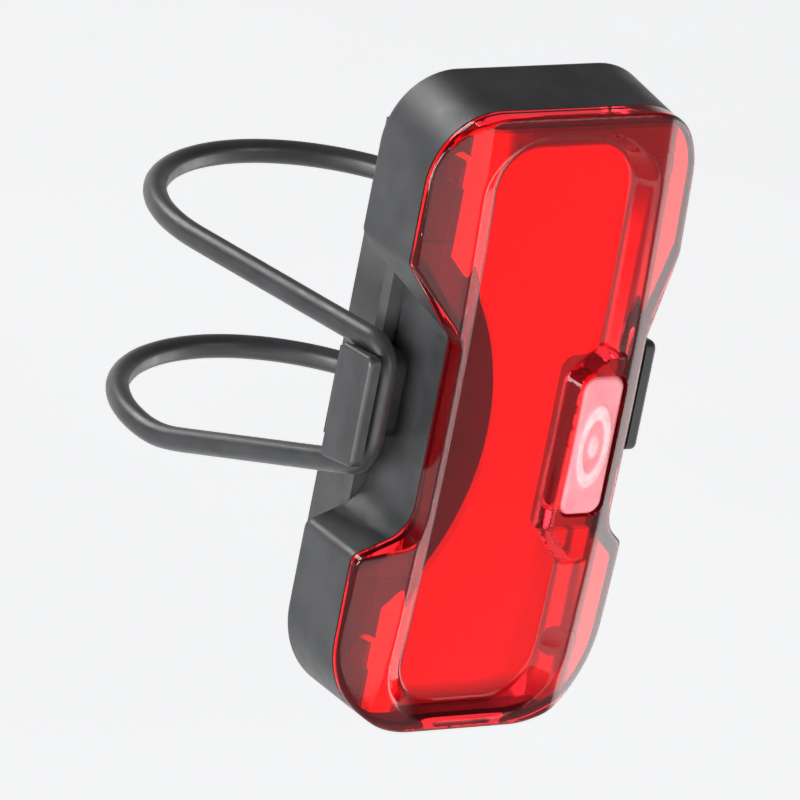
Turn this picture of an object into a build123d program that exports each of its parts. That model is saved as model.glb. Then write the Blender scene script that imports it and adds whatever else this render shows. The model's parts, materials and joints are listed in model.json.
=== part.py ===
from build123d import *
import math
import os

# Bike rear light held by a rubber ring on a round tube of 27.2 mm.
# Frame: origin on the tube's axis at mid-height of the light, +Z up along the tube,
# the lens faces -Y, +X is to the right when looking at the lens. Millimetres.
# "d" below is the distance in front of the tube's axis, so Y = -d.

# ---- driving dimensions ----
TUBE_R = 13.6          # radius of the round tube the light is strapped to
HALF_W = 12.7          # half width of the wings
TOP_Z = 25.7           # upper end
LOW_Z = -27.3          # lower end
CORNER_R = 6.0         # front-view radius of the upper corners
LOW_CORNER_R = 8.0     # and of the lower ones
WAIST_LEFT = 7.5       # distance to the waist's walls between the two recesses
WAIST_RIGHT = 10.2     # the right one leaves room for the button
NOTCH_TOP_OUT = 13.0   # recess corners, front view
NOTCH_TOP_IN = 6.4
NOTCH_BOT_IN = -10.0
NOTCH_BOT_OUT = -12.0
NOTCH_BOT_R = 3.2      # hollow corner at the foot of the waist
D_BACK = 21.5          # housing's back plane
D_FLOOR = 23.0         # inside of the back wall
D_RIM = 28.7           # housing's front rim
D_JOINT = 28.9         # lens underside at the rim
D_CREST = 31.7         # lens crest at mid-height
CREST_X = 8.45         # half distance between the two crests
EDGE_D = 30.0          # outer foot of the side bevels at mid-height
BULGE_R = 284.0        # the lens bulges along Z with this radius
WINDOW_X = 6.45        # half width of the sunk window's floor
WINDOW_DEPTH = 1.5
WINDOW_TOP = 23.3
WINDOW_BOT = -25.0
GUIDE_D = 28.85        # front of the light guide
TOP_DRAFT = 0.9        # the top end rises towards the back by this much
CORD_R = 1.0           # rubber ring's cord radius
STRAP_UP_Z = 4.2       # upper strand's height
STRAP_LOW_HOOK_Z = -5.7
STRAP_LOW_Z = -13.2    # lower strand's height round the tube
HOOK_LEFT = 10.5       # strap loop's centre at each hook
HOOK_RIGHT = 11.9
HOOK_OUT = 1.55        # from there to the inside of the hook's plate
HOOK_D = 25.4
CUT_S = 7.0            # length of the part of the ring that lifts off the hook
BUTTON_C = (6.65, -2.55)
BUTTON_W = 4.1
BUTTON_H = 12.0
BUTTON_TRAVEL = 0.4
PCB_D0, PCB_D1 = 25.9, 26.5
POST_R = 1.25          # lens posts round the screws
POSTS = [(8.7, 20.6), (-8.7, 20.6), (8.7, -20.6), (-8.7, -20.6)]
USB_D = 24.65
PAD_Z = 18.5           # half length of the pad's part that sits on the tube
PORT_Z = -26.3         # bottom of the port cover's seat


def rounded(points):
    """Face in the local XY plane from (x, y, radius) corners: straight sides joined by tangent arcs."""
    n = len(points)
    segs = []
    ends = []
    for i in range(n):
        x, y, r = points[i]
        p = Vector(x, y)
        a = Vector(*points[i - 1][:2]) - p
        b = Vector(*points[(i + 1) % n][:2]) - p
        ua, ub = a.normalized(), b.normalized()
        half = math.radians(ua.get_angle(ub)) / 2
        if r <= 0:
            ends.append((p, p, None))
            continue
        t = r / math.tan(half)
        c = p + (ua + ub).normalized() * (r / math.sin(half))
        mid = c + (p - c).normalized() * r
        ends.append((p + ua * t, p + ub * t, mid))
    for i in range(n):
        start, end, mid = ends[i]
        if mid is not None:
            segs.append(ThreePointArc(start, mid, end))
        nxt = ends[(i + 1) % n][0]
        if (nxt - end).length > 1e-6:
            segs.append(Line(end, nxt))
    return make_face(Wire(segs))


def rounded_box(x0, x1, z0, z1, r):
    return rounded([(x0, z0, r), (x1, z0, r), (x1, z1, r), (x0, z1, r)])


def prism(face, d0, d1, taper=0.0):
    """Front-view face (x, z) extruded from d0 forward to d1."""
    return extrude(Plane.XZ.offset(d0) * face, amount=d1 - d0, taper=taper)


def block(x0, x1, d0, d1, z0, z1):
    return Pos((x0 + x1) / 2, -(d0 + d1) / 2, (z0 + z1) / 2) * Box(x1 - x0, abs(d1 - d0), z1 - z0)


def pin(x, z, r, d0, d1):
    return prism(Pos(x, z) * Circle(r), d0, d1)


def mirror_x(shape):
    return mirror(shape, about=Plane.YZ)


def one(shape):
    """The single solid of a result."""
    solids = shape.solids()
    assert len(solids) == 1, f"{len(solids)} solids"
    return solids[0]


def body_outline(grow=0.0, rise=0.0):
    g = grow
    w, top, low = HALF_W + g, TOP_Z + g + rise, LOW_Z - g
    top_out, top_in = NOTCH_TOP_OUT - g * 0.6, NOTCH_TOP_IN - g * 0.6
    bot_in, bot_out = NOTCH_BOT_IN + g * 0.8, NOTCH_BOT_OUT + g * 0.8

    def side(x):
        return [(w, top, CORNER_R + g), (w, top_out, 0.9), (x, top_in, 1.8), (x, bot_in, NOTCH_BOT_R), (w, bot_out, 0.9),
                (w, low, LOW_CORNER_R + g)]

    left = [(-px, pz, r) for px, pz, r in reversed(side(WAIST_LEFT + g))]
    return rounded(side(WAIST_RIGHT + g) + left)


def cavity_outline(gap=0.0):
    w, top, low, z1, z0 = 11.3 - gap, 24.2 - gap, -25.8 + gap, 14.4 + gap, -14.2 - gap

    def side(x):
        return [(w, top, 4.2 - gap), (w, z1, 0.6), (x, z1, 0.6), (x, z0, 0.6), (w, z0, 0.6), (w, low, 6.2 - gap)]

    left = [(-px, pz, r) for px, pz, r in reversed(side(WAIST_LEFT - 0.9 - gap))]
    return rounded(side(WAIST_RIGHT - 0.9 - gap) + left)


def rim_outline(gap=0.0):
    """The wider opening at the housing's rim, whose notches slant like the outside."""
    w, top, low = 11.9 - gap, 24.9 - gap, -26.5 + gap

    def side(x):
        return [(w, top, 4.9 - gap), (w, 13.9 + 0.6 * gap, 0.6), (x, 7.5 + 0.6 * gap, 1.0), (x, -11.0 - 0.8 * gap, 2.4),
                (w, -13.1 - 0.8 * gap, 0.6), (w, low, 6.9 - gap)]

    left = [(-px, pz, r) for px, pz, r in reversed(side(WAIST_LEFT - 0.9 - gap))]
    return rounded(side(WAIST_RIGHT - 0.9 - gap) + left)


def window_outline(gap=0.0):
    """The opening of the black frame, which the light guide fills: an arc on the left, a step under the button."""
    face = rounded_box(-5.9 - gap, 6.3 + gap, -23.4 - gap, 22.6 + gap, 3.0)
    face -= Pos(-(1.75 + gap + 21.0), -1.8) * Circle(21.0)
    face -= rounded_box(3.5 + gap, 12.0, -10.4 + gap, 4.6 - gap, 1.2)
    return face


# ---- rear housing ----
housing = loft([Plane.XZ.offset(D_BACK) * body_outline(rise=TOP_DRAFT), Plane.XZ.offset(D_RIM) * body_outline()], ruled=True)
housing = fillet(housing.edges().filter_by(lambda e: abs(e.center().Y + D_BACK) < 1e-4), 0.6)
# the underside of each upper wing is scooped away behind a slanting line
for side, waist in ((-1, WAIST_LEFT), (1, WAIST_RIGHT)):
    p1 = Vector(side * HALF_W, -D_BACK, 12.0)
    p2 = Vector(side * (waist + 0.2), -29.5, 6.5)
    p3 = Vector(side * (waist + 1.0), -D_BACK, 12.5)
    n = (p2 - p1).cross(p3 - p1).normalized()
    if n.Y < 0:
        n = n * -1
    half_space = Plane(origin=p1, z_dir=n) * Pos(0, 0, 10) * Box(60, 60, 20)
    x0, x1 = sorted((side * (waist + 0.05), side * 13.2))
    housing -= block(x0, x1, 21.0, 29.2, 5.6, 13.2) & half_space
housing -= prism(cavity_outline(), D_FLOOR, D_RIM + 1) + prism(rim_outline(), 28.15, D_RIM + 1)
# one hook on each side: a neck at the back and an upright plate outside the strap
plate_face = rounded([(22.4, 3.75, 0.5), (26.9, 4.1, 0.7), (26.9, -5.3, 0.7), (22.4, -6.1, 0.5)])
# local x runs forward (-Y), local y up, extruded along the plate's thickness
plate = extrude(Plane(origin=(0, 0, 0), x_dir=(0, -1, 0), z_dir=(-1, 0, 0)) * plate_face, amount=1.05)
plate = fillet(plate.faces().sort_by(Axis.X)[0].edges(), 0.35)
for side, waist, hook_x in ((-1, WAIST_LEFT, HOOK_LEFT), (1, WAIST_RIGHT, HOOK_RIGHT)):
    inside = hook_x + HOOK_OUT
    x0, x1 = sorted((side * (waist - 0.9), side * (inside + 0.35)))
    neck = block(x0, x1, D_BACK, 24.15, -4.5, 3.0)
    neck = fillet(neck.edges().filter_by(Axis.X).filter_by(lambda e: e.center().Y < -23), 1.3)
    housing += neck + Pos(side * inside, 0, 0) * (plate if side < 0 else mirror_x(plate))
# opening and shallow seat for the charging port's cover, in the lower end
housing -= block(-6.7, 7.3, 22.1, 27.3, LOW_Z - 1, PORT_Z)
port_face = rounded_box(-4.62, 4.62, -1.73, 1.73, 1.2)
port = extrude(Plane(origin=(0, -USB_D, -31), x_dir=(1, 0, 0), z_dir=(0, 0, 1)) * port_face, amount=8)
housing -= port
# screw holes with countersunk seats under the pad
for x, z in POSTS:
    housing -= pin(x, z, 0.8, D_BACK - 1, D_FLOOR + 1) + pin(x, z, 1.5, D_BACK - 1, 22.4)
rear_housing = one(housing)

# ---- lens ----
axis_y = BULGE_R - D_CREST      # the bulge's axis runs along X behind the lens


def bulged(points):
    """Top-view polygon (x, d) at mid-height, swung about the bulge's axis."""
    face = make_face(Polyline([(x, -d, 0) for x, d in points], close=True))
    ax = Axis((0, axis_y, 0), (1, 0, 0))
    span = 13.0
    solid = revolve(face, axis=ax, revolution_arc=span)
    return solid.rotate(ax, -span / 2)


lens_form = bulged([(-14.5, 26.5), (14.5, 26.5), (14.5, 29.28), (CREST_X, D_CREST - 0.02), (CREST_X - 0.25, D_CREST),
                    (-CREST_X + 0.25, D_CREST), (-CREST_X, D_CREST - 0.02), (-14.5, 29.28)])
lens = prism(body_outline(), D_JOINT, D_CREST + 1) & lens_form
# the window is sunk between the crests; its ends slope too
sink = bulged([(-WINDOW_X, D_CREST - WINDOW_DEPTH), (WINDOW_X, D_CREST - WINDOW_DEPTH),
               (CREST_X + 0.6, D_CREST + 0.75), (-CREST_X - 0.6, D_CREST + 0.75)])
side_view = make_face(Polyline([(0, -28.6, WINDOW_BOT), (0, -28.6, WINDOW_TOP), (0, -33.6, WINDOW_TOP + 1.6),
                                (0, -33.6, WINDOW_BOT - 1.6)], close=True))
sink &= extrude(side_view, amount=15, both=True)
sink &= prism(rounded_box(-8.9, 8.9, WINDOW_BOT - 0.9, WINDOW_TOP + 0.9, 4.6), 28.0, 34.0)
# the button's seat is left standing on the right of the window
seat_face = rounded([(3.4, 3.4, 0.8), (6.4, 6.3, 0.8), (12.0, 6.3, 0), (12.0, -13.6, 0), (6.2, -13.6, 0.8), (3.3, -9.2, 0.8)])
seat = extrude(Plane.XZ.offset(28.8) * seat_face, amount=2.75, taper=22)
sink -= seat
lens -= sink
# screw posts
for x, z in POSTS:
    lens += pin(x, z, POST_R, D_FLOOR + 0.05, D_JOINT)
for x, z in POSTS:
    lens -= pin(x, z, 0.75, D_FLOOR - 1, 27.6)
bx, bz = BUTTON_C
hole_w, hole_h = BUTTON_W + 0.2, BUTTON_H + 0.3
lens -= prism(rounded_box(bx - hole_w / 2, bx + hole_w / 2, bz - hole_h / 2, bz + hole_h / 2, 1.25), 27.0, 40)
lens = one(lens)

# ---- seal between lens and housing ----
gasket = prism(body_outline(-0.35), D_RIM, D_JOINT) - prism(rim_outline(), D_RIM - 1, D_JOINT + 1)
lens_gasket = one(gasket)

# ---- black frame and light guide behind the lens ----
frame = prism(cavity_outline(0.2), PCB_D1, 28.1) - prism(window_outline(0.1), PCB_D1 - 1, 40)
for x, z in POSTS:
    frame -= pin(x, z, POST_R + 0.2, PCB_D1 - 1, 40)
frame -= block(bx - 1.95, bx + 1.3, PCB_D1 - 1, 40, bz - 2.2, bz + 2.2)
frame -= pin(-5.4, -3.0, 0.6, PCB_D1 - 1, 40)
frame -= block(7.4, 9.8, PCB_D1 - 0.1, 27.4, 15.0, 18.2)
inner_frame = one(frame)
# the guide's front plate spreads over the frame, except over the dark arc, the left wings' edges and the button
plate = prism(rim_outline(0.15), 28.15, GUIDE_D) & block(-8.1, 12.5, 28, 29, -25.6, 24.0)
plate -= prism(Pos(-(1.75 + 21.0), -1.8) * Circle(21.0), 28, 29)
plate -= prism(rounded_box(3.5, 12.0, -10.4, 4.6, 1.2), 28, 29)
for x, z in POSTS:
    plate -= pin(x, z, POST_R + 0.1, 28, 29)
light_guide = one(prism(window_outline(), 27.15, 28.2) + plate)

# ---- circuit board and what sits on it ----
board = prism(rounded([(-6.1, -24.6, 0.5), (-4.9, -24.6, 0.3), (-4.9, -19.6, 0.3), (4.9, -19.6, 0.3), (4.9, -24.6, 0.3),
                       (6.5, -24.6, 0.5), (6.5, -9.0, 0.3), (8.0, -9.0, 0.5), (8.0, 4.0, 0.5), (6.5, 4.0, 0.3),
                       (6.5, 23.4, 1.0), (-6.1, 23.4, 1.0)]), PCB_D0, PCB_D1)
board = one(board)
strip = one(prism(rounded_box(-1.55, 1.55, -20.6, 21.4, 0.5), PCB_D1, 26.8))
emitters = [pin(0, -18.4 + 3.48 * i, 0.95, 26.8, 27.05) for i in range(12)]
control_chip = block(-5.7, -2.8, PCB_D1, 27.05, 10.8, 13.7)
charging_chip = block(3.3, 5.3, PCB_D1, 27.05, -18.8, -16.2)
capacitors = [block(x, x + 1.0, PCB_D1, 27.05, z, z + 1.7) for x, z in ((-4.4, 15.4), (-4.4, -14.8), (3.0, 13.4))]
resistors = [block(x, x + 0.6, PCB_D1, 26.85, z, z + 1.1) for x, z in ((-3.2, 18.2), (-4.6, 18.2), (3.4, -14.6), (4.6, -14.6))]
indicator_led = block(-5.8, -5.0, PCB_D1, 27.0, -3.5, -2.5)
switch_body = one(prism(rounded_box(bx - 1.75, bx + 1.1, bz - 2.0, bz + 2.0, 0.3), PCB_D1, 28.0))
switch_plunger = pin(bx, bz, 0.75, 28.02, 28.5)
switch_body = one(switch_body - pin(bx, bz, 0.85, 27.4, 29))
switch_plunger = one(switch_plunger + pin(bx, bz, 0.75, 27.9, 28.1))

# ---- button ----
cap_face = rounded_box(bx - BUTTON_W / 2, bx + BUTTON_W / 2, bz - BUTTON_H / 2, bz + BUTTON_H / 2, 1.1)
cap = prism(cap_face, 29.75, 31.45)
cap = fillet(cap.faces().sort_by(Axis.Y)[0].edges(), 0.45)
ring = prism(Pos(bx, bz) * (Ellipse(1.45, 3.3) - Ellipse(0.95, 2.6)), 31.3, 31.62)
dot = prism(Pos(bx, bz) * Ellipse(0.42, 1.0), 31.3, 31.6)
cap = cap + ring + dot + pin(bx, bz, 0.75, 28.5, 29.85)
button_cap = one(cap)
seal = prism(rounded_box(bx - 2.1, bx + 2.1, bz - 6.1, bz + 6.1, 1.1), 28.98, 29.3) - pin(bx, bz, 1.0, 28, 30)
button_seal = one(seal)

# ---- battery, its tape and its leads ----
battery = prism(rounded_box(-6.1, 6.3, -14.4, 20.4, 0.8), 23.3, 25.7)
battery = one(fillet(battery.edges().filter_by(Axis.Z), 0.7))
battery_tape = block(-5.0, 5.0, D_FLOOR, 23.3, -12.5, 18.5)
leads = []
for x in (-1.2, 1.2):
    path = FilletPolyline((x, -24.5, 20.4), (x, -24.5, 22.2), (x, -PCB_D0, 22.2), radius=0.6)
    leads.append(sweep(Plane(origin=(x, -24.5, 20.4), z_dir=(0, 0, 1)) * Circle(0.3), path=path).solids()[0])

# ---- charging port in the lower end ----
shell_face = rounded_box(-4.47, 4.47, -1.58, 1.58, 1.2) - rounded_box(-4.17, 4.17, -1.28, 1.28, 1.0)
usb_shell = extrude(Plane(origin=(0, -USB_D, PORT_Z + 0.1), x_dir=(1, 0, 0), z_dir=(0, 0, 1)) * shell_face, amount=6.3)
back_face = rounded_box(-4.17, 4.17, -1.28, 1.28, 1.0)
usb_tongue = extrude(Plane(origin=(0, -USB_D, PORT_Z + 5.6), x_dir=(1, 0, 0), z_dir=(0, 0, 1)) * back_face, amount=0.8)
usb_tongue += block(-3.3, 3.3, USB_D - 0.35, USB_D + 0.35, PORT_Z + 1.8, PORT_Z + 5.6)
usb_shell, usb_tongue = one(usb_shell), one(usb_tongue)

# ---- rubber cover of the port: fixed end, thin web (part of the flap) and flap with its plug ----
cover_anchor = one(block(-6.6, -5.05, 22.25, 27.15, LOW_Z, PORT_Z) & prism(body_outline(), 22, 28))
flap = block(-4.85, 6.6, 22.25, 27.15, LOW_Z, PORT_Z - 0.1)
flap = fillet(flap.edges().filter_by(Axis.Z).filter_by(lambda e: e.center().X > 0), 1.2)
flap += block(6.3, 7.15, 23.4, 26.0, LOW_Z, PORT_Z - 0.3)
plug = extrude(Plane(origin=(0, -USB_D, PORT_Z - 0.2), x_dir=(1, 0, 0), z_dir=(0, 0, 1)) * rounded_box(-3.75, 3.45, -1.0, 1.0, 0.8), amount=1.3)
usb_cover = one((flap & prism(body_outline(), 22, 28)) + plug)

# ---- rubber pad between housing and tube ----
profile = make_face(Polyline([(-8.6, -D_BACK, 0), (8.6, -D_BACK, 0), (8.6, -20.3, 0), (5.6, -17.2, 0), (5.6, -11.0, 0),
                              (-5.6, -11.0, 0), (-5.6, -17.2, 0), (-8.6, -20.3, 0)], close=True))
pad = extrude(Plane.XY.offset(-PAD_Z) * profile, amount=2 * PAD_Z)
pad += prism(rounded_box(-10.4, 10.4, 16.0, 22.6, 2.0), 20.4, D_BACK) + prism(rounded_box(-10.4, 10.4, -22.8, -16.0, 2.0), 20.4, D_BACK)
pad -= Cylinder(TUBE_R, 80)
saddle_pad = one(pad)

# ---- screws ----
screws = []
for x, z in POSTS:
    s = pin(x, z, 1.4, D_BACK, 22.4) + pin(x, z, 0.75, 22.4, 27.2) - prism(Pos(x, z) * RegularPolygon(0.55, 6), D_BACK - 1, 22.0)
    screws.append(one(s))

# ---- the rubber ring: two strands round the tube, and a loop on each hook ----
R_C = TUBE_R + CORD_R - 0.1     # pressed 0.1 mm flat on the tube


class Run:
    """The straight run of the ring from a hook to where it meets the tube, drawn on the left side."""

    def __init__(self, hook_x):
        self.hook = Vector(-hook_x, -HOOK_D, 0)
        turn = math.degrees(math.acos(R_C / self.hook.length))
        self.at = math.degrees(math.atan2(self.hook.Y, self.hook.X)) % 360 - turn
        touch = Vector(R_C * math.cos(math.radians(self.at)), R_C * math.sin(math.radians(self.at)), 0)
        self.length = (touch - self.hook).length
        self.u = (touch - self.hook).normalized()
        self.low_slope = (STRAP_LOW_Z - STRAP_LOW_HOOK_Z) / self.length

    def on(self, s, z):
        return Vector(self.hook.X + self.u.X * s, self.hook.Y + self.u.Y * s, z)

    def low_z(self, s):
        return STRAP_LOW_HOOK_Z + self.low_slope * s


def tube(a, b, r=CORD_R):
    return Solid.make_cylinder(r, (b - a).length, Plane(origin=a, z_dir=(b - a)))


left, right = Run(HOOK_LEFT), Run(HOOK_RIGHT)
GAP = 0.1

# the inner top edge of each hook's plate is hollowed where the ring slides past it
PULL = 4.5


def passing(run):
    forward = Vector(0, -PULL, 0)
    return tube(run.on(-0.5, STRAP_UP_Z) + forward, run.on(CUT_S + 1.0, STRAP_UP_Z) + forward, CORD_R + 0.08)


rear_housing = one(rear_housing - passing(left) - mirror_x(passing(right)))

strands = []
for upper in (True, False):
    z_tube = STRAP_UP_Z if upper else STRAP_LOW_Z
    ring_arc = revolve(Plane.XZ * Pos(R_C, z_tube) * Circle(CORD_R), axis=Axis.Z, revolution_arc=left.at + right.at - 180)
    strand = ring_arc.rotate(Axis.Z, 180 - right.at)
    for run, on_right in ((left, False), (right, True)):
        z_cut = STRAP_UP_Z if upper else run.low_z(CUT_S + GAP)
        arm = tube(run.on(CUT_S + GAP, z_cut), run.on(run.length, z_tube)) + Pos(*run.on(run.length, z_tube)) * Sphere(CORD_R)
        strand += mirror_x(arm) if on_right else arm
    strand -= Cylinder(TUBE_R, 80)
    strands.append(one(strand))


def loop(run):
    path = FilletPolyline(run.on(CUT_S, STRAP_UP_Z), run.on(0, STRAP_UP_Z), run.on(0, STRAP_LOW_HOOK_Z),
                          run.on(CUT_S, run.low_z(CUT_S)), radius=2.4)
    made = sweep(Plane(origin=run.on(CUT_S, STRAP_UP_Z), z_dir=run.u * -1) * Circle(CORD_R), path=path)
    print("loop volume", round(made.volume, 2), "section times length", round(math.pi * CORD_R**2 * path.length, 2),
          "meets the tube at", round(run.at, 1))
    return one(made)


strap_end_left = loop(left)
strap_end_right = mirror_x(loop(right))

# ---- write every piece ----
PARTS = {
    "rear_housing": rear_housing,
    "lens": lens,
    "lens_gasket": lens_gasket,
    "inner_frame": inner_frame,
    "light_guide": light_guide,
    "circuit_board": board,
    "led_strip": strip,
    "led_emitters": Compound([one(e) for e in emitters]),
    "control_chip": control_chip,
    "charging_chip": charging_chip,
    "capacitors": Compound([one(c) for c in capacitors]),
    "resistors": Compound([one(c) for c in resistors]),
    "indicator_led": indicator_led,
    "switch_body": switch_body,
    "switch_plunger": switch_plunger,
    "button_cap": button_cap,
    "button_seal": button_seal,
    "battery": battery,
    "battery_tape": battery_tape,
    "battery_leads": Compound(leads),
    "usb_shell": usb_shell,
    "usb_tongue": usb_tongue,
    "usb_cover": usb_cover,
    "usb_cover_anchor": cover_anchor,
    "saddle_pad": saddle_pad,
    "housing_screws": Compound(screws),
    "strap": Compound(strands),
    "strap_end_left": strap_end_left,
    "strap_end_right": strap_end_right,
}
os.makedirs("parts", exist_ok=True)
for name, shape in PARTS.items():
    export_step(shape, f"parts/{name}.step")
print(len(PARTS), "nodes written")
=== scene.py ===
import bpy
import bmesh
import json
import math
import numpy as np
from mathutils import Matrix, Vector
from mathutils.geometry import delaunay_2d_cdt


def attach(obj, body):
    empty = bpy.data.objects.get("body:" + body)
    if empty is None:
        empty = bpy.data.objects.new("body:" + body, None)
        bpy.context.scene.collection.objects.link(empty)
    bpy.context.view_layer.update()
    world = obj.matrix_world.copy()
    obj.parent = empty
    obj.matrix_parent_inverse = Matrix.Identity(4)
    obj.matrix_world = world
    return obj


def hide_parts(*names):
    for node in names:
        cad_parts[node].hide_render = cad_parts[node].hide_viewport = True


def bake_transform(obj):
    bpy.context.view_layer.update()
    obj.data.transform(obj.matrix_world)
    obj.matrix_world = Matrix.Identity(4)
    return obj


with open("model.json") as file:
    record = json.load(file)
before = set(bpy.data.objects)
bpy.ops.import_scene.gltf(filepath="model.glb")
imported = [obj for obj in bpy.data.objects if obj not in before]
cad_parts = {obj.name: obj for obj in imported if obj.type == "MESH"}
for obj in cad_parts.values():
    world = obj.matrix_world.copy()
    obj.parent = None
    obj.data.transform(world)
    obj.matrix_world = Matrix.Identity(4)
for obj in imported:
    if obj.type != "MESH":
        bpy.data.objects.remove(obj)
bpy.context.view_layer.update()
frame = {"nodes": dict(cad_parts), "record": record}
MM = 0.001

# ---------------------------------------------------------------- camera
# The camera was fitted to the photograph, in millimetres in the row frame.
AZ, EL, ROLL, DIST = math.radians(-36.3), math.radians(21.1), math.radians(11.2), 950.0
SCALE, OX, OY = 3.27, 391.4, 351.8           # photo pixels per mm, and where the origin falls
CROP_X, CROP_Y, CROP_W = 412.0, 387.0, 212.0  # the square of the photograph that the render shows


def camera():
    c = Vector((math.sin(AZ) * math.cos(EL), -math.cos(AZ) * math.cos(EL), math.sin(EL)))
    right0 = Vector((math.cos(AZ), math.sin(AZ), 0))
    up0 = c.cross(right0)
    right = math.cos(ROLL) * right0 + math.sin(ROLL) * up0
    up = -math.sin(ROLL) * right0 + math.cos(ROLL) * up0
    place = c * DIST - right * ((OX - 400) / SCALE) - up * ((400 - OY) / SCALE)
    f = SCALE * DIST
    look = (-c + right * ((CROP_X - 400) / f) + up * ((400 - CROP_Y) / f)).normalized()
    up = (up - look * up.dot(look)).normalized()
    right = look.cross(up)
    data = bpy.data.cameras.new("camera")
    data.sensor_width = 36.0
    data.lens = f * 36.0 / CROP_W
    data.clip_start, data.clip_end = 0.01, 200.0
    cam = bpy.data.objects.new("camera", data)
    m = Matrix((right, up, -look)).transposed().to_4x4()
    m.translation = place * MM
    cam.matrix_world = m
    bpy.context.scene.collection.objects.link(cam)
    bpy.context.scene.camera = cam
    return cam


camera()


# ---------------------------------------------------------------- materials
class Nodes:
    """A small wrapper that makes and joins shader nodes."""

    def __init__(self, name):
        self.mat = bpy.data.materials.new(name)
        self.mat.use_nodes = True
        self.tree = self.mat.node_tree
        self.bsdf = self.tree.nodes["Principled BSDF"]
        self.coord = self.new("ShaderNodeTexCoord").outputs["Object"]

    def new(self, kind, **props):
        node = self.tree.nodes.new(kind)
        for k, v in props.items():
            setattr(node, k, v)
        return node

    def join(self, a, b):
        self.tree.links.new(a, b)

    def noise(self, scale, detail=3.0, rough=0.5, stretch=None):
        node = self.new("ShaderNodeTexNoise")
        node.inputs["Scale"].default_value = scale
        node.inputs["Detail"].default_value = detail
        node.inputs["Roughness"].default_value = rough
        if stretch:
            m = self.new("ShaderNodeMapping")
            m.inputs["Scale"].default_value = stretch
            self.join(self.coord, m.inputs["Vector"])
            self.join(m.outputs["Vector"], node.inputs["Vector"])
        else:
            self.join(self.coord, node.inputs["Vector"])
        return node.outputs["Fac"]

    def voronoi(self, scale, feature="F1"):
        node = self.new("ShaderNodeTexVoronoi", feature=feature)
        node.inputs["Scale"].default_value = scale
        self.join(self.coord, node.inputs["Vector"])
        return node.outputs["Distance"]

    def ramp(self, fac, stops):
        node = self.new("ShaderNodeValToRGB")
        r = node.color_ramp
        while len(r.elements) < len(stops):
            r.elements.new(0.5)
        for e, (pos, col) in zip(r.elements, stops):
            e.position = pos
            e.color = (*col, 1) if len(col) == 3 else col
        self.join(fac, node.inputs["Fac"])
        return node.outputs["Color"]

    def spread(self, fac, lo, hi):
        node = self.new("ShaderNodeMapRange")
        node.inputs["From Min"].default_value = 0.3
        node.inputs["From Max"].default_value = 0.7
        node.inputs["To Min"].default_value = lo
        node.inputs["To Max"].default_value = hi
        self.join(fac, node.inputs["Value"])
        return node.outputs["Result"]

    def bump(self, height, distance, strength=1.0, onto=None):
        node = self.new("ShaderNodeBump")
        node.inputs["Strength"].default_value = strength
        node.inputs["Distance"].default_value = distance
        self.join(height, node.inputs["Height"])
        if onto is not None:
            self.join(onto, node.inputs["Normal"])
        return node.outputs["Normal"]

    def set(self, **values):
        names = {
            "metallic": "Metallic", "rough": "Roughness", "ior": "IOR", "transmission": "Transmission Weight",
            "specular": "Specular IOR Level", "tint": "Specular Tint", "coat": "Coat Weight", "coat_rough": "Coat Roughness",
            "sheen": "Sheen Weight", "sheen_rough": "Sheen Roughness", "alpha": "Alpha",
            "subsurface": "Subsurface Weight", "subsurface_scale": "Subsurface Scale",
            "emission": "Emission Strength", "emission_color": "Emission Color", "color": "Base Color",
            "subsurface_radius": "Subsurface Radius",
        }
        for k, v in values.items():
            s = self.bsdf.inputs[names[k]]
            if isinstance(v, bpy.types.NodeSocket):
                self.join(v, s)
            elif k in ("color", "emission_color", "tint") and len(v) == 3:
                s.default_value = (*v, 1)
            else:
                s.default_value = v
        return self


class Num:
    """A number socket that can be added, multiplied and compared to build up shader maths."""

    def __init__(self, nodes, socket):
        self.n, self.s = nodes, socket

    def op(self, kind, *others):
        node = self.n.new("ShaderNodeMath", operation=kind)
        self.n.join(self.s, node.inputs[0])
        for i, other in enumerate(others):
            if isinstance(other, Num):
                self.n.join(other.s, node.inputs[i + 1])
            else:
                node.inputs[i + 1].default_value = other
        return Num(self.n, node.outputs[0])

    def __add__(self, other):
        return self.op("ADD", other)

    def __sub__(self, other):
        return self.op("SUBTRACT", other)

    def __mul__(self, other):
        return self.op("MULTIPLY", other)

    def over(self, other):
        return self.op("MAXIMUM", other)

    def under(self, other):
        return self.op("MINIMUM", other)

    def size(self):
        return self.op("ABSOLUTE")

    def ramp(self, lo, hi, out_lo=0.0, out_hi=1.0):
        """Smooth step from out_lo at lo to out_hi at hi."""
        node = self.n.new("ShaderNodeMapRange", interpolation_type="SMOOTHSTEP")
        for key, value in (("From Min", lo), ("From Max", hi), ("To Min", out_lo), ("To Max", out_hi)):
            node.inputs[key].default_value = value
        self.n.join(self.s, node.inputs["Value"])
        return Num(self.n, node.outputs["Result"])


def axes(n):
    """Object x and z in millimetres."""
    parts = n.new("ShaderNodeSeparateXYZ")
    n.join(n.coord, parts.inputs["Vector"])
    return Num(n, parts.outputs["X"]) * 1000.0, Num(n, parts.outputs["Z"]) * 1000.0


def box_distance(x, z, x0, x1, z0, z1, r):
    """Signed distance to a rounded rectangle, negative inside."""
    qx = (x - (x0 + x1) / 2).size() - ((x1 - x0) / 2 - r)
    qz = (z - (z0 + z1) / 2).size() - ((z1 - z0) / 2 - r)
    ox, oz = qx.over(0.0), qz.over(0.0)
    return (ox * ox + oz * oz).op("SQRT") + qx.over(qz).under(0.0) - r


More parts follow.
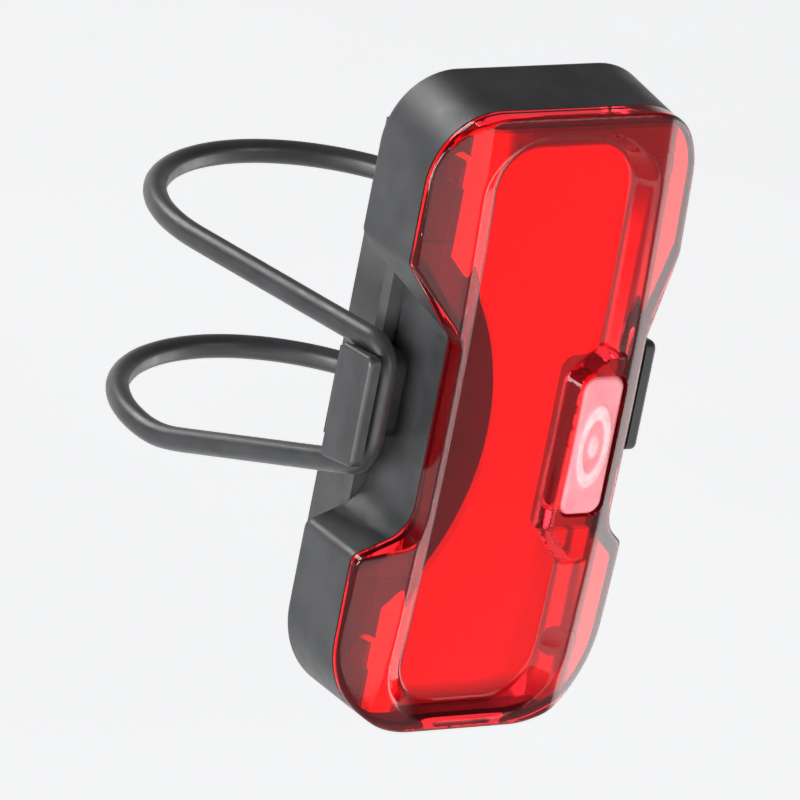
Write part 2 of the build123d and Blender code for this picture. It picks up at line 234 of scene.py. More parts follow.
def mixed(n, fac, a, b):
    """Colour a where fac is 0, b where it is 1."""
    mix = n.new("ShaderNodeMix", data_type="RGBA")
    n.join(fac.s, mix.inputs["Factor"])
    for socket, value in (("A", a), ("B", b)):
        if isinstance(value, tuple):
            mix.inputs[socket].default_value = (*value, 1)
        else:
            n.join(value, mix.inputs[socket])
    return mix.outputs["Result"]


def plastic(name, dark, light, rough=(0.42, 0.52), grain=9000.0, depth=0.000012, spread=260.0, **more):
    """Moulded plastic: slightly uneven colour and gloss over a fine spark-eroded grain."""
    n = Nodes(name)
    wide = n.noise(spread, 4)
    n.set(color=n.ramp(wide, [(0.35, dark), (0.65, light)]), rough=n.spread(n.noise(spread * 2.3, 3), *rough), **more)
    fine = n.bump(n.noise(grain, 3, 0.65), depth, 0.6)
    n.join(n.bump(n.voronoi(grain * 0.45), depth * 0.7, 0.35, onto=fine), n.bsdf.inputs["Normal"])
    return n.mat


def rubber(name, dark, light, rough=(0.55, 0.7), streak=None, sheen=0.15, depth=0.00001):
    """Moulded rubber: dusty colour changes, dull sheen and faint flow marks."""
    n = Nodes(name)
    wide = n.noise(340, 5, 0.6, stretch=streak)
    n.set(color=n.ramp(wide, [(0.3, dark), (0.72, light)]), rough=n.spread(n.noise(700, 3), *rough), sheen=sheen,
          sheen_rough=0.5)
    fine = n.bump(n.noise(6000, 4, 0.7), depth, 0.6)
    n.join(n.bump(n.noise(900, 2, 0.4, stretch=streak), depth * 2.0, 0.3, onto=fine), n.bsdf.inputs["Normal"])
    return n.mat


def metal(name, dark, light, rough=(0.25, 0.4), stretch=(1, 1, 30)):
    n = Nodes(name)
    line = n.noise(1500, 4, 0.6, stretch=stretch)
    n.set(color=n.ramp(line, [(0.3, dark), (0.7, light)]), rough=n.spread(line, *rough), metallic=1.0)
    n.join(n.bump(line, 0.000006, 0.5), n.bsdf.inputs["Normal"])
    return n.mat


def lens_material():
    """Clear red acrylic: polished skin with faint moulding waves."""
    n = Nodes("lens_red")
    wave = n.noise(120, 2, 0.4)
    n.set(color=n.ramp(n.noise(80, 2), [(0.3, (0.92, 0.02, 0.035)), (0.7, (0.95, 0.035, 0.05))]),
          rough=n.spread(n.noise(500, 3), 0.03, 0.07), transmission=0.97, ior=1.49, specular=0.18, tint=(0.42, 0.40, 0.40), coat=0.0)
    n.join(n.bump(wave, 0.00002, 0.25), n.bsdf.inputs["Normal"])
    return n.mat


def guide_material():
    """Milky plate behind the lens, painted with the lens's lit red glow: even under the window, with painted shade
    towards its end walls and painted highlight lines.
    """
    n = Nodes("guide_painted_glow")
    x, z = axes(n)
    wide = Num(n, n.noise(150, 3, 0.5))
    # painted shade: the glow darkens towards the right and towards the bottom
    painted_falloff = x.ramp(0.5, 7.0, 0.0, 0.55) + z.ramp(12.0, -14.0, 0.0, 0.4) + wide * 0.3
    glow = n.ramp(painted_falloff.s, [(0.1, (0.96, 0.018, 0.018)), (0.5, (0.80, 0.003, 0.024)), (1.0, (0.56, 0.0, 0.030))])
    # painted shade beyond the window's foot: along its walls, at both end walls and under the right crest
    foot = box_distance(x, z, -6.0, 6.95, -25.4, 22.5, 3.6)
    wall = (foot - 0.3).size().ramp(0.6, 0.1)
    glow = mixed(n, wall * 0.9, glow, (0.10, 0.0, 0.004))
    # painted highlight: the wall's upper edge shows as a thin paler line at the top and on the right
    line = (foot + 0.12).size().ramp(0.2, 0.07) * z.ramp(-20.0, -14.0) * x.ramp(-6.4, -4.0)
    glow = mixed(n, line * 0.7, glow, (0.62, 0.13, 0.14))
    # painted shade: dark above the window's top end
    painted_end_shade = foot.ramp(0.0, 0.5) * z.ramp(14.0, 19.5) * x.ramp(-7.0, -5.0) * x.ramp(10.2, 9.2)
    glow = mixed(n, painted_end_shade * 0.96, glow, (0.06, 0.0, 0.004))
    # painted shade: dark at the bottom end
    low = z.ramp(-22.8, -25.2)
    glow = mixed(n, low * 0.85, glow, (0.10, 0.0, 0.008))
    # painted shade: a dark line under the right crest
    crest = (x - 9.5).size().ramp(0.55, 0.15)
    glow = mixed(n, crest * 0.94, glow, (0.06, 0.0, 0.004))
    # painted light: bright orange-red on the upper right wing
    painted_wing_light = x.ramp(10.0, 10.5) * z.ramp(2.0, 6.0)
    glow = mixed(n, painted_wing_light * 0.9, glow, (1.0, 0.07, 0.04))
    # painted highlight: bright orange-red left of the window's left wall
    edge = x.ramp(-6.4, -6.9)
    glow = mixed(n, edge * 0.75, glow, (1.0, 0.10, 0.05))
    # painted glow: the plate emits its painted colour in place of light coming through the lens
    n.set(color=glow, rough=n.spread(n.noise(400, 3), 0.3, 0.42), subsurface=0.2, subsurface_scale=0.002,
          subsurface_radius=(1.0, 0.3, 0.2), emission=0.66, emission_color=glow)
    n.join(n.bump(n.noise(2500, 2), 0.00001, 0.3), n.bsdf.inputs["Normal"])
    return n.mat


def frame_material():
    """Black frame behind the lens. Round the button a painted red glow stands in for the guide's red light falling on
    it.
    """
    n = Nodes("frame_plastic")
    x, z = axes(n)
    base = n.ramp(n.noise(260, 4), [(0.35, (0.012, 0.009, 0.009)), (0.65, (0.022, 0.017, 0.017))])
    # painted glow: red emission round the button for the guide's light spilling onto the frame
    spill = x.ramp(1.5, 3.2) * z.ramp(7.5, 5.5) * z.ramp(-13.5, -11.0)
    red = mixed(n, spill, (0.0, 0.0, 0.0), n.ramp(n.noise(380, 3), [(0.3, (0.34, 0.0, 0.010)), (0.7, (0.46, 0.002, 0.016))]))
    n.set(color=base, rough=n.spread(n.noise(600, 3), 0.62, 0.74), emission=0.8, emission_color=red)
    n.join(n.bump(n.noise(4200, 3), 0.000004, 0.4), n.bsdf.inputs["Normal"])
    return n.mat


def silicone_material():
    """Translucent white silicone over a red lens: pinkish, waxy, matt."""
    n = Nodes("button_silicone")
    soft = n.noise(420, 4, 0.55)
    ground = n.ramp(soft, [(0.3, (0.52, 0.135, 0.165)), (0.7, (0.60, 0.20, 0.225))])
    raised_pale = n.ramp(n.noise(900, 3, 0.6), [(0.3, (0.58, 0.26, 0.28)), (0.7, (0.70, 0.42, 0.43))])
    # the raised oval and dot are paler
    parts = n.new("ShaderNodeSeparateXYZ")
    n.join(n.coord, parts.inputs["Vector"])
    raised = n.new("ShaderNodeMapRange", interpolation_type="SMOOTHSTEP")
    for key, value in (("From Min", -0.03150), ("From Max", -0.03157), ("To Min", 0.0), ("To Max", 1.0)):
        raised.inputs[key].default_value = value
    n.join(parts.outputs["Y"], raised.inputs["Value"])
    mix = n.new("ShaderNodeMix", data_type="RGBA")
    n.join(raised.outputs["Result"], mix.inputs["Factor"])
    n.join(ground, mix.inputs["A"])
    n.join(raised_pale, mix.inputs["B"])
    n.set(color=mix.outputs["Result"], rough=n.spread(n.noise(900, 3), 0.36, 0.48), subsurface=0.35, subsurface_scale=0.0008,
          subsurface_radius=(1.0, 0.45, 0.4), coat=0.15, coat_rough=0.3)
    n.join(n.bump(n.noise(2600, 3, 0.5), 0.000004, 0.4), n.bsdf.inputs["Normal"])
    return n.mat


MATS = {
    "housing_plastic": plastic("housing_plastic", (0.013, 0.0135, 0.014), (0.025, 0.0255, 0.027), rough=(0.4, 0.5)),
    "lens_red": lens_material(),
    "gasket_rubber": rubber("gasket_rubber", (0.012, 0.012, 0.012), (0.025, 0.022, 0.022)),
    "frame_plastic": frame_material(),
    "guide_plastic": guide_material(),
    "board_green": plastic("board_green", (0.006, 0.05, 0.02), (0.01, 0.09, 0.035), rough=(0.3, 0.45)),
    "strip_white": plastic("strip_white", (0.72, 0.72, 0.70), (0.82, 0.82, 0.80)),
    "emitter_red": plastic("emitter_red", (0.6, 0.04, 0.03), (0.85, 0.1, 0.08), rough=(0.15, 0.3)),
    "chip_black": plastic("chip_black", (0.012, 0.012, 0.013), (0.024, 0.024, 0.026), rough=(0.4, 0.55)),
    "capacitor_ceramic": plastic("capacitor_ceramic", (0.30, 0.20, 0.12), (0.44, 0.31, 0.2), rough=(0.35, 0.5)),
    "resistor_black": plastic("resistor_black", (0.015, 0.015, 0.016), (0.03, 0.03, 0.03)),
    "indicator_resin": plastic("indicator_resin", (0.55, 0.6, 0.35), (0.75, 0.8, 0.5), rough=(0.15, 0.25)),
    "switch_metal": metal("switch_metal", (0.42, 0.42, 0.42), (0.62, 0.62, 0.62)),
    "plunger_plastic": plastic("plunger_plastic", (0.02, 0.02, 0.02), (0.035, 0.035, 0.035)),
    "button_silicone": silicone_material(),
    "seal_rubber": rubber("seal_rubber", (0.03, 0.01, 0.01), (0.06, 0.02, 0.02), rough=(0.7, 0.8), sheen=0.0, depth=0.000003),
    "battery_foil": metal("battery_foil", (0.55, 0.56, 0.57), (0.75, 0.76, 0.77), rough=(0.3, 0.45)),
    "tape_foam": rubber("tape_foam", (0.6, 0.6, 0.57), (0.75, 0.75, 0.72), rough=(0.8, 0.9)),
    "lead_jacket": rubber("lead_jacket", (0.3, 0.01, 0.01), (0.45, 0.02, 0.02), rough=(0.35, 0.5)),
    "port_steel": metal("port_steel", (0.45, 0.45, 0.46), (0.66, 0.66, 0.67)),
    "port_plastic": plastic("port_plastic", (0.012, 0.012, 0.012), (0.024, 0.024, 0.024)),
    "cover_rubber": rubber("cover_rubber", (0.014, 0.014, 0.015), (0.034, 0.034, 0.036)),
    "pad_rubber": rubber("pad_rubber", (0.012, 0.012, 0.013), (0.03, 0.03, 0.032)),
    "screw_steel": metal("screw_steel", (0.40, 0.40, 0.41), (0.6, 0.6, 0.62), stretch=(6, 6, 1)),
    "strap_rubber": rubber("strap_rubber", (0.009, 0.0095, 0.010), (0.020, 0.0205, 0.022), rough=(0.34, 0.46), streak=(1, 1, 2.5), sheen=0.05),
}
for entry in frame["record"]["subparts"]:
    node = frame["nodes"][entry["node"]]
    node.data.materials.clear()
    node.data.materials.append(MATS[entry["material_slot"]])


def make_mesh(name, verts, faces, mat, smooth_angle=40.0):
    me = bpy.data.meshes.new(name)
    me.from_pydata([tuple(v) for v in verts], [], faces)
    me.update()
    ob = bpy.data.objects.new(name, me)
    bpy.context.scene.collection.objects.link(ob)
    me.materials.append(MATS[mat])
    for p in me.polygons:
        p.use_smooth = True
    bm = bmesh.new()
    bm.from_mesh(me)
    bmesh.ops.recalc_face_normals(bm, faces=bm.faces)
    limit = math.radians(smooth_angle)
    for e in bm.edges:
        if len(e.link_faces) == 2 and e.calc_face_angle(0) > limit:
            e.smooth = False
    bm.to_mesh(me)
    bm.free()
    return ob


# ---------------------------------------------------------------- outlines (front view, mm)
def rounded(points, step=0.22):
    """Closed loop of points along straight sides joined by tangent arcs, from (x, y, radius) corners."""
    n = len(points)
    out = []
    for i in range(n):
        x, y, r = points[i]
        p = np.array([x, y])
        a = np.array(points[i - 1][:2]) - p
        b = np.array(points[(i + 1) % n][:2]) - p
        ua, ub = a / np.linalg.norm(a), b / np.linalg.norm(b)
        half = math.acos(max(-1, min(1, ua @ ub))) / 2
        t = r / math.tan(half)
        c = p + (ua + ub) / np.linalg.norm(ua + ub) * (r / math.sin(half))
        s, e = p + ua * t, p + ub * t
        a0 = math.atan2(*(s - c)[::-1])
        a1 = math.atan2(*(e - c)[::-1])
        d = (a1 - a0 + math.pi) % (2 * math.pi) - math.pi
        k = max(3, int(abs(d) * r / step) + 1)
        for j in range(k + 1):
            q = a0 + d * j / k
            out.append(c + r * np.array([math.cos(q), math.sin(q)]))
    dense = []
    m = len(out)
    for i in range(m):
        p, q = out[i], out[(i + 1) % m]
        length = np.linalg.norm(q - p)
        if length < 1e-6:
            continue
        k = max(1, int(math.ceil(length / (step * 1.4))))
        for j in range(k):
            dense.append(p + (q - p) * j / k)
    return np.array(dense)


HALF_W, TOP_Z, LOW_Z, CORNER_R, LOW_CORNER_R = 12.7, 25.7, -27.3, 6.0, 8.0
WAIST = (7.5, 10.2)


def body_outline(grow=0.0):
    g = grow
    w, top, low = HALF_W + g, TOP_Z + g, LOW_Z - g

    def side(x):
        return [(w, top, CORNER_R + g), (w, 13.0 - g * 0.6, 0.9), (x, 6.4 - g * 0.6, 1.8),
                (x, -10.0 + g * 0.8, 3.2), (w, -12.0 + g * 0.8, 0.9), (w, low, LOW_CORNER_R + g)]

    left = [(-px, pz, r) for px, pz, r in reversed(side(WAIST[0] + g))]
    return rounded(side(WAIST[1] + g) + left)


def box_sd(x, z, x0, x1, z0, z1, r):
    """Signed distance to a rounded rectangle, with the direction away from it."""
    cx, cz, hx, hz = (x0 + x1) / 2, (z0 + z1) / 2, (x1 - x0) / 2, (z1 - z0) / 2
    qx, qz = np.abs(x - cx) - hx + r, np.abs(z - cz) - hz + r
    out = np.hypot(np.maximum(qx, 0), np.maximum(qz, 0))
    inside = np.minimum(np.maximum(qx, qz), 0)
    d = out + inside - r
    nx = np.where(out > 0, np.maximum(qx, 0) / np.maximum(out, 1e-9), (qx > qz) * 1.0)
    return d, nx


def poly_sd(x, z, poly):
    """Signed distance to a polygon, negative inside."""
    p = np.stack([x, z], 1)
    a = np.asarray(poly, float)
    b = np.roll(a, -1, 0)
    best = np.full(len(p), 1e9)
    inside = np.zeros(len(p), bool)
    for i in range(len(a)):
        e = b[i] - a[i]
        w = p - a[i]
        t = np.clip((w @ e) / max(e @ e, 1e-12), 0, 1)
        best = np.minimum(best, np.linalg.norm(w - t[:, None] * e, axis=1))
        c = (a[i][1] > p[:, 1]) != (b[i][1] > p[:, 1])
        with np.errstate(divide="ignore", invalid="ignore"):
            cross = (b[i][0] - a[i][0]) * (p[:, 1] - a[i][1]) / (b[i][1] - a[i][1]) + a[i][0]
        inside ^= c & (p[:, 0] < cross)
    return np.where(inside, -best, best)


def smooth_min(a, b, r):
    h = np.clip(0.5 + 0.5 * (b - a) / r, 0, 1)
    return b * (1 - h) + a * h - r * h * (1 - h)


def smooth_max(a, b, r):
    return -smooth_min(-a, -b, r)


# ---------------------------------------------------------------- lens
D_JOINT, D_CREST, CREST_X, BULGE_R = 28.9, 31.7, 8.45, 284.0
WIN = (-6.45, 6.45, -25.0, 23.3)
BUTTON = (6.65, -2.55)
HOLE = (2.15, 6.15)
SEAT = [(4.15, 3.0), (6.6, 5.2), (12.0, 5.2), (12.0, -12.6), (6.6, -12.6), (4.05, -9.6)]


def lens_top(x, z):
    """How far in front of the tube's axis the lens surface is at (x, z)."""
    side = D_CREST - 0.4 * (np.abs(x) - CREST_X)
    outer = smooth_min(np.full_like(x, D_CREST), side, 0.25)
    d, nx = box_sd(x, z, *WIN, 4.2)
    k_end = np.where(z > 0, 1.9, 0.9)
    k = 0.75 * nx ** 2 + k_end * (1 - nx ** 2)
    wall = D_CREST - 1.5 + k * d
    sunk = smooth_max(np.full_like(x, D_CREST - 1.5), wall, 0.14)
    sd = poly_sd(x, z, SEAT)
    seat = smooth_min(np.full_like(x, D_CREST - 0.15), D_CREST - 0.15 - 2.1 * (sd + 0.1), 0.25)
    sunk = smooth_max(sunk, seat, 0.22)
    top = smooth_min(outer, sunk, 0.16)
    # rounded rim all round
    edge = -poly_sd(x, z, OUTLINE_FOR_RIM)
    rim = np.clip(1 - edge / 0.28, 0, 1)
    return top - 0.16 * rim ** 2 + np.sqrt(BULGE_R ** 2 - z ** 2) - BULGE_R


OUTLINE_FOR_RIM = body_outline()[::3]


def lens_mesh():
    outline = body_outline()
    cut = rounded([(BUTTON[0] - HOLE[0], BUTTON[1] - HOLE[1], 1.25), (BUTTON[0] + HOLE[0], BUTTON[1] - HOLE[1], 1.25),
                   (BUTTON[0] + HOLE[0], BUTTON[1] + HOLE[1], 1.25), (BUTTON[0] - HOLE[0], BUTTON[1] + HOLE[1], 1.25)], 0.15)
    step = 0.24
    xs = np.arange(-12.7, 12.71, step)
    zs = np.arange(LOW_Z, TOP_Z + 0.01, step)
    gx, gz = np.meshgrid(xs, zs)
    gx = gx + (np.arange(len(zs)) % 2)[:, None] * step / 2
    gx, gz = gx.ravel(), gz.ravel()
    keep = (poly_sd(gx, gz, outline) < -step * 0.55) & (poly_sd(gx, gz, cut) > step * 0.5)
    inner = np.stack([gx[keep], gz[keep]], 1)
    # extra rows where the surface turns quickly
    extra = []
    for inset in (0.1, 0.22):
        loop = body_outline(-inset)
        extra.append(loop)
    pts = np.concatenate([outline, cut, inner] + extra)
    d_out = poly_sd(pts[:, 0], pts[:, 1], outline)
    ok = np.ones(len(pts), bool)
    ok[len(outline) + len(cut):] = d_out[len(outline) + len(cut):] < -0.05
    pts = pts[ok]
    n0, n1 = len(outline), len(cut)
    edges = [(i, (i + 1) % n0) for i in range(n0)] + [(n0 + i, n0 + (i + 1) % n1) for i in range(n1)]
    res = delaunay_2d_cdt([Vector(p) for p in pts], edges, [], 1, 1e-6)
    v2 = np.array([tuple(v) for v in res[0]])
    tris = [tuple(f) for f in res[2]]
    cent = np.array([v2[list(t)].mean(0) for t in tris])
    in_hole = poly_sd(cent[:, 0], cent[:, 1], cut) < 0
    tris = [t for t, h in zip(tris, in_hole) if not h]
    top = lens_top(v2[:, 0], v2[:, 1])
    n = len(v2)
    verts = [(x, -d, z) for (x, z), d in zip(v2, top)] + [(x, -D_JOINT, z) for x, z in v2]
    faces = [tuple(t) for t in tris] + [tuple(n + i for i in reversed(t)) for t in tris]
    count = {}
    for t in tris:
        for i in range(3):
            a, b = t[i], t[(i + 1) % 3]
            count[(a, b)] = count.get((a, b), 0) + 1
    for a, b in list(count):
        if (b, a) not in count:
            faces.append((b, a, n + a, n + b))
    ob = make_mesh("lens_cover", np.array(verts) * MM, faces, "lens_red", 42)
    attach(ob, "light")
    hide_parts("lens")
    return ob


lens_mesh()


# ---------------------------------------------------------------- button: a soft cap with a raised oval and dot
def button_height(x, z):
    """Height of the cap's face in front of the tube's axis."""
    dx, dz = x - BUTTON[0], z - BUTTON[1]
    d, _ = box_sd(x, z, BUTTON[0] - 2.05, BUTTON[0] + 2.05, BUTTON[1] - 6.0, BUTTON[1] + 6.0, 1.2)
    edge = np.clip((0.55 + d) / 0.55, 0, 1)
    crown = 0.06 * (1 - (dx / 2.05) ** 2) * (1 - (dz / 6.0) ** 2)
    oval = np.hypot(dx / 1.2, dz / 2.95)
    ring = 0.1 * np.exp(-((oval - 1) / 0.24) ** 4)
    dot = 0.10 * np.exp(-(np.hypot(dx / 0.46, dz / 1.0)) ** 4)
    return 31.43 + crown + ring + dot - 0.5 * (1 - np.sqrt(np.clip(1 - edge ** 2, 0, 1)))


def button_mesh():
    def outline(inset, step):
        x, z = BUTTON
        a, b = 2.05 - inset, 6.0 - inset
        return rounded([(x - a, z - b, 1.2 - inset), (x + a, z - b, 1.2 - inset), (x + a, z + b, 1.2 - inset),
                        (x - a, z + b, 1.2 - inset)], step)

    edge = outline(0, 0.11)
    rows = [outline(i, 0.11) for i in (0.03, 0.08, 0.15, 0.24, 0.35)]
    step = 0.11
    gx, gz = np.meshgrid(np.arange(BUTTON[0] - 2.0, BUTTON[0] + 2.01, step), np.arange(BUTTON[1] - 6.0, BUTTON[1] + 6.01, step))
    gx, gz = gx.ravel(), gz.ravel()
    d, _ = box_sd(gx, gz, BUTTON[0] - 2.05, BUTTON[0] + 2.05, BUTTON[1] - 6.0, BUTTON[1] + 6.0, 1.2)
    pts = np.concatenate([edge] + rows + [np.stack([gx, gz], 1)[d < -0.42]])
    n0 = len(edge)
    res = delaunay_2d_cdt([Vector(p) for p in pts], [(i, (i + 1) % n0) for i in range(n0)], [], 1, 1e-6)
    v2 = np.array([tuple(v) for v in res[0]])
    tris = [tuple(t) for t in res[2]]
    n = len(v2)
    top = button_height(v2[:, 0], v2[:, 1])
    verts = [(x, -d, z) for (x, z), d in zip(v2, top)] + [(x, -29.8, z) for x, z in v2]
    faces = tris + [tuple(n + i for i in reversed(t)) for t in tris]
    seen = {}
    for t in tris:
        for i in range(3):
            seen[(t[i], t[(i + 1) % 3])] = 1
    for a, b in list(seen):
        if (b, a) not in seen:
            faces.append((b, a, n + a, n + b))
    ob = make_mesh("button_pad", np.array(verts) * MM, faces, "button_silicone", 50)
    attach(ob, "button")
    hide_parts("button_cap")
    return ob


button_mesh()


# ---------------------------------------------------------------- the lens's screw posts
def posts():
    verts, faces = [], []
    for cx, cz in ((8.7, 20.6), (-8.7, 20.6), (8.7, -20.6), (-8.7, -20.6)):
        base = len(verts)
        rings = [(1.2, 23.1), (1.25, 23.2), (1.25, 28.55), (1.25, 28.86)]
        for r, d in rings:
            for j in range(32):
                q = 2 * math.pi * j / 32
                verts.append((cx + r * math.cos(q), -d, cz + r * math.sin(q)))
        for i in range(len(rings) - 1):
            for j in range(32):
                k = (j + 1) % 32
                faces.append((base + i * 32 + j, base + i * 32 + k, base + (i + 1) * 32 + k, base + (i + 1) * 32 + j))
        faces.append(tuple(base + j for j in range(32))[::-1])
        faces.append(tuple(base + (len(rings) - 1) * 32 + j for j in range(32)))
    ob = make_mesh("lens_posts", np.array(verts) * MM, faces, "lens_red", 40)
    ob.data.materials.clear()
    ob.data.materials.append(POST_MAT)
    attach(ob, "light")
    return ob


# painted glow: the lens's screw posts emit dark red, and the left pair a bright orange-red, to match the guide's
# painted light and shade
post = Nodes("post_painted_glow")
post_x, post_z = axes(post)
painted_post_glow = post.ramp(post.noise(500, 3), [(0.3, (0.07, 0.0, 0.003)), (0.7, (0.11, 0.0, 0.005))])
painted_post_glow = mixed(post, post_x.ramp(-9.35, -9.2) * post_x.ramp(0.0, -1.0), painted_post_glow, (0.96, 0.07, 0.035))
post.set(color=painted_post_glow, rough=post.spread(post.noise(900, 2), 0.3, 0.45), emission_color=painted_post_glow, emission=0.6)
POST_MAT = post.mat
posts()


# ---------------------------------------------------------------- port cover: fixed end, thin web and flap in one rubber piece
def cover():
    low, high = -27.28, -26.33

    def foot(x):
        """The cover follows the end's rounded outline."""
        over = max(abs(x) - 4.7, 0)
        return -27.3 + 8 - math.sqrt(64 - over * over) + 0.02

    stations = []
    for x in (-6.58, -6.52, -6.2, -5.7, -5.35, -5.2):
        e = {-6.58: 0.18, -6.52: 0.08}.get(x, 0.0)
        stations.append((x, 22.27 + e, 27.13 - e, foot(x) + e, high - e))
    for x, thick in ((-5.12, 0.5), (-5.02, 0.34), (-4.92, 0.34), (-4.82, 0.5)):
        stations.append((x, 22.35, 27.05, foot(x), foot(x) + thick))
    for x in (-4.74, -4.5, -3.5, -2.0, 0.0, 2.0, 4.0, 5.2):
        stations.append((x, 22.27, 27.13, foot(x), high - 0.1))
    for q in np.linspace(0.15, 1, 7):
        a = q * math.pi / 2
        x = 5.2 + 1.2 * math.sin(a)
        w = 1.2 * (1 - math.cos(a))
        stations.append((x, 22.27 + w, 27.13 - w, foot(x), high - 0.1))
    for x, e in ((6.55, 0.0), (6.95, 0.0), (7.08, 0.08), (7.13, 0.22)):
        stations.append((x, 23.45 + e, 25.95 - e, foot(x) + e * 0.6, -26.62 - e * 0.6))
    verts, faces = [], []
    k = 28
    for x, d0, d1, z0, z1 in stations:
        hy, hz = (d1 - d0) / 2, (z1 - z0) / 2
        r = min(0.22, hz * 0.6)
        for j in range(k):
            q = 2 * math.pi * (j + 0.5) / k
            c, sn = math.cos(q), math.sin(q)
            px = math.copysign(hy - r, c) + r * c
            pz = math.copysign(hz - r, sn) + r * sn
            verts.append((x, -((d0 + d1) / 2 + px), (z0 + z1) / 2 + pz))
    for i in range(len(stations) - 1):
        for j in range(k):
            m = (j + 1) % k
            faces.append((i * k + j, i * k + m, (i + 1) * k + m, (i + 1) * k + j))
    faces.append(tuple(range(k))[::-1])
    faces.append(tuple((len(stations) - 1) * k + j for j in range(k)))
    # the plug that fills the port's mouth
    base = len(verts)
    loops = [(0.0, -26.5), (0.0, -25.45), (0.12, -25.25), (0.3, -25.2)]
    for e, z in loops:
        for j in range(40):
            q = 2 * math.pi * (j + 0.5) / 40
            r = 0.8 - e * 0.5
            px = math.copysign(3.6 - e - r, math.cos(q)) + r * math.cos(q)
            py = math.copysign(1.0 - e - r if 1.0 - e - r > 0 else 0.0, math.sin(q)) + r * math.sin(q)
            verts.append((-0.15 + px, -24.65 + py, z))
    for i in range(len(loops) - 1):
        for j in range(40):
            m = (j + 1) % 40
            faces.append((base + i * 40 + j, base + i * 40 + m, base + (i + 1) * 40 + m, base + (i + 1) * 40 + j))
    faces.append(tuple(base + j for j in range(40))[::-1])
    faces.append(tuple(base + (len(loops) - 1) * 40 + j for j in range(40)))
    ob = make_mesh("port_cover_rubber", np.array(verts) * MM, faces, "cover_rubber", 55)
    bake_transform(ob)
    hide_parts("usb_cover", "usb_cover_anchor")
    return ob


cover()


# ---------------------------------------------------------------- rubber ring
TUBE_R, CORD_R = 13.6, 1.0
R_C = TUBE_R + CORD_R - 0.1
UP_Z, LOW_HOOK_Z, LOW_STRAND_Z = 4.2, -5.7, -13.2
HOOK_LEFT, HOOK_RIGHT, HOOK_D = 10.5, 11.9, 25.4


def half_ring(hook_x):
    """Centre line of one half of the ring: from the back of the tube along the upper strand, round the hook and back."""
    hook = np.array([-hook_x, -HOOK_D])
    reach = np.linalg.norm(hook)
    at = math.degrees(math.atan2(hook[1], hook[0])) % 360 - math.degrees(math.acos(R_C / reach))
    touch = R_C * np.array([math.cos(math.radians(at)), math.sin(math.radians(at))])

    def strand(z_tube, z_hook):
        arc = [(R_C * math.cos(math.radians(a)), R_C * math.sin(math.radians(a)), z_tube)
               for a in np.linspace(90, at, 40)]
        run = [tuple(touch + (hook - touch) * t) + (z_tube + (z_hook - z_tube) * t,) for t in np.linspace(0, 1, 24)]
        return arc + run[1:]

    upper = strand(UP_Z, UP_Z)
    lower = strand(LOW_STRAND_Z, LOW_HOOK_Z)
    raw = np.array(upper + [(hook[0], hook[1], UP_Z + (LOW_HOOK_Z - UP_Z) * t) for t in np.linspace(0, 1, 16)[1:-1]] + lower[::-1])
    # round the two corners at the hook
    seg = np.r_[0, np.cumsum(np.linalg.norm(np.diff(raw, axis=0), axis=1))]
    s = np.arange(0, seg[-1], 0.35)
    line = np.stack([np.interp(s, seg, raw[:, i]) for i in range(3)], 1)
    corner = [seg[len(upper) - 1], seg[len(upper) + 13]]
    for c in corner:
        reach = 2.4
        i0, i1 = np.searchsorted(s, c - reach), np.searchsorted(s, c + reach)
        p0, p2 = line[i0].copy(), line[i1].copy()
        p1 = raw[len(upper) - 1] if c == corner[0] else raw[len(upper) + 14]
        for i in range(i0, i1 + 1):
            t = (i - i0) / (i1 - i0)
            w = 0.86
            b0, b1, b2 = (1 - t) ** 2, 2 * t * (1 - t) * w, t ** 2
            line[i] = (p0 * b0 + p1 * b1 + p2 * b2) / (b0 + b1 + b2)
    # the slanting lower strand leaves the tube in a gentle curve
    wide = 11
    padded = np.r_[np.full(wide, line[0, 2]), line[:, 2], np.full(wide, line[-1, 2])]
    soft = np.convolve(padded, np.hanning(2 * wide + 1) / np.hanning(2 * wide + 1).sum(), "valid")
    away = np.clip((np.linalg.norm(line[:, :2] - hook, axis=1) - 8.0) / 4.0, 0, 1)
    line[:, 2] += (soft - line[:, 2]) * away
    line = np.vstack([line, raw[-1]])
    return line


def sweep(line, radius, sides=20, up=Vector((0, 0, 1))):
    """Tube round a line, with its section kept upright."""
    verts, faces = [], []
    n = len(line)
    frame_up = Vector((0, 0, 1))
    prev = None
    for i in range(n):
        a = Vector(line[max(i - 1, 0)])
        b = Vector(line[min(i + 1, n - 1)])
        t = (b - a).normalized()
        if prev is None:
            x = t.cross(frame_up).normalized()
        else:
            x = (prev - t * prev.dot(t)).normalized()
        prev = x
        y = t.cross(x)
        r = radius[i] if hasattr(radius, "__len__") else radius
        for j in range(sides):
            q = 2 * math.pi * j / sides
            verts.append(Vector(line[i]) + x * (r * math.cos(q)) + y * (r * math.sin(q)))
    for i in range(n - 1):
        for j in range(sides):
            k = (j + 1) % sides
            faces.append((i * sides + j, i * sides + k, (i + 1) * sides + k, (i + 1) * sides + j))
    faces.append(tuple(range(sides))[::-1])
    faces.append(tuple((n - 1) * sides + j for j in range(sides)))
    return verts, faces


def ring_half(name, side, nodes):
    line = half_ring(HOOK_LEFT if side < 0 else HOOK_RIGHT)
    if side > 0:
        line = line * np.array([-1, 1, 1])
    radii = np.full(len(line), CORD_R)
    verts, faces = sweep(line, radii, 22)
    out = []
    for v in verts:
        rr = math.hypot(v.x, v.y)
        if rr < TUBE_R + 0.01:
            f = (TUBE_R + 0.01) / rr
            v = Vector((v.x * f, v.y * f, v.z))
        out.append(v * MM)
    ob = make_mesh(name, out, faces, "strap_rubber", 60)
    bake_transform(ob)
    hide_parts(*nodes)
    return ob


ring_half("strap_half_left", -1, ["strap", "strap_end_left"])
ring_half("strap_half_right", 1, ["strap_end_right"])


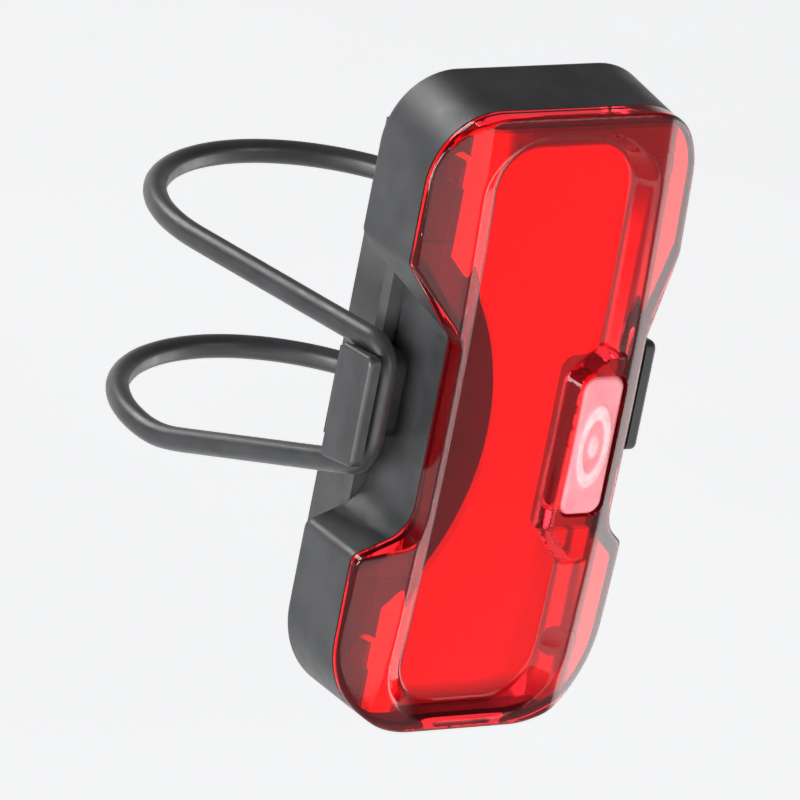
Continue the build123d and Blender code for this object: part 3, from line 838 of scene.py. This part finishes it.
# ---------------------------------------------------------------- light and floor
def area(name, place, target, size, power, color=(1, 1, 1), size_y=None):
    data = bpy.data.lights.new(name, "AREA")
    data.shape = "RECTANGLE"
    data.size = size
    data.size_y = size_y or size
    data.energy = power
    data.color = color
    ob = bpy.data.objects.new(name, data)
    ob.location = place
    ob.rotation_euler = (Vector(target) - Vector(place)).to_track_quat("-Z", "Y").to_euler()
    bpy.context.scene.collection.objects.link(ob)
    return ob


area("key_left", (-0.85, -0.35, 0.05), (0, -0.01, 0), 0.55, 19.0)
area("bounce_front", (-0.16, -0.95, -0.30), (0, -0.01, 0), 0.9, 4.0, size_y=0.5)
area("back_top", (-0.32, 0.87, 0.80), (0, -0.01, 0), 0.6, 12.0)
area("side_right", (0.95, -0.17, -0.33), (0, -0.01, 0), 0.6, 3.5)
area("fill_front", (0.45, -1.0, 0.35), (0, -0.01, 0), 0.5, 3.0)

world = bpy.data.worlds.new("studio")
world.use_nodes = True
wt = world.node_tree
ray = wt.nodes.new("ShaderNodeTexCoord")
split = wt.nodes.new("ShaderNodeSeparateXYZ")
sky = wt.nodes.new("ShaderNodeValToRGB")
sky.color_ramp.elements[0].position, sky.color_ramp.elements[0].color = 0.02, (0.98, 0.985, 0.99, 1)
sky.color_ramp.elements[1].position, sky.color_ramp.elements[1].color = 0.34, (0.10, 0.10, 0.105, 1)
wt.links.new(ray.outputs["Generated"], split.inputs["Vector"])
wt.links.new(split.outputs["Z"], sky.inputs["Fac"])
wt.links.new(sky.outputs["Color"], wt.nodes["Background"].inputs["Color"])
wt.nodes["Background"].inputs["Strength"].default_value = 1.0
bpy.context.scene.world = world
bpy.context.scene.view_settings.view_transform = "Standard"
bpy.context.scene.view_settings.look = "None"

floor_mesh = bpy.data.meshes.new("floor")
FZ = -1.5
floor_mesh.from_pydata([(-40, -40, FZ), (40, -40, FZ), (40, 40, FZ), (-40, 40, FZ)], [], [(0, 1, 2, 3)])
floor = bpy.data.objects.new("floor", floor_mesh)
bpy.context.scene.collection.objects.link(floor)
fn = Nodes("floor_paint")
pale = fn.ramp(fn.noise(3, 3), [(0.3, (0.86, 0.865, 0.87)), (0.7, (0.88, 0.885, 0.89))])
fn.set(color=pale, rough=fn.spread(fn.noise(40, 2), 0.6, 0.7), emission_color=pale, emission=0.86)
floor_mesh.materials.append(fn.mat)
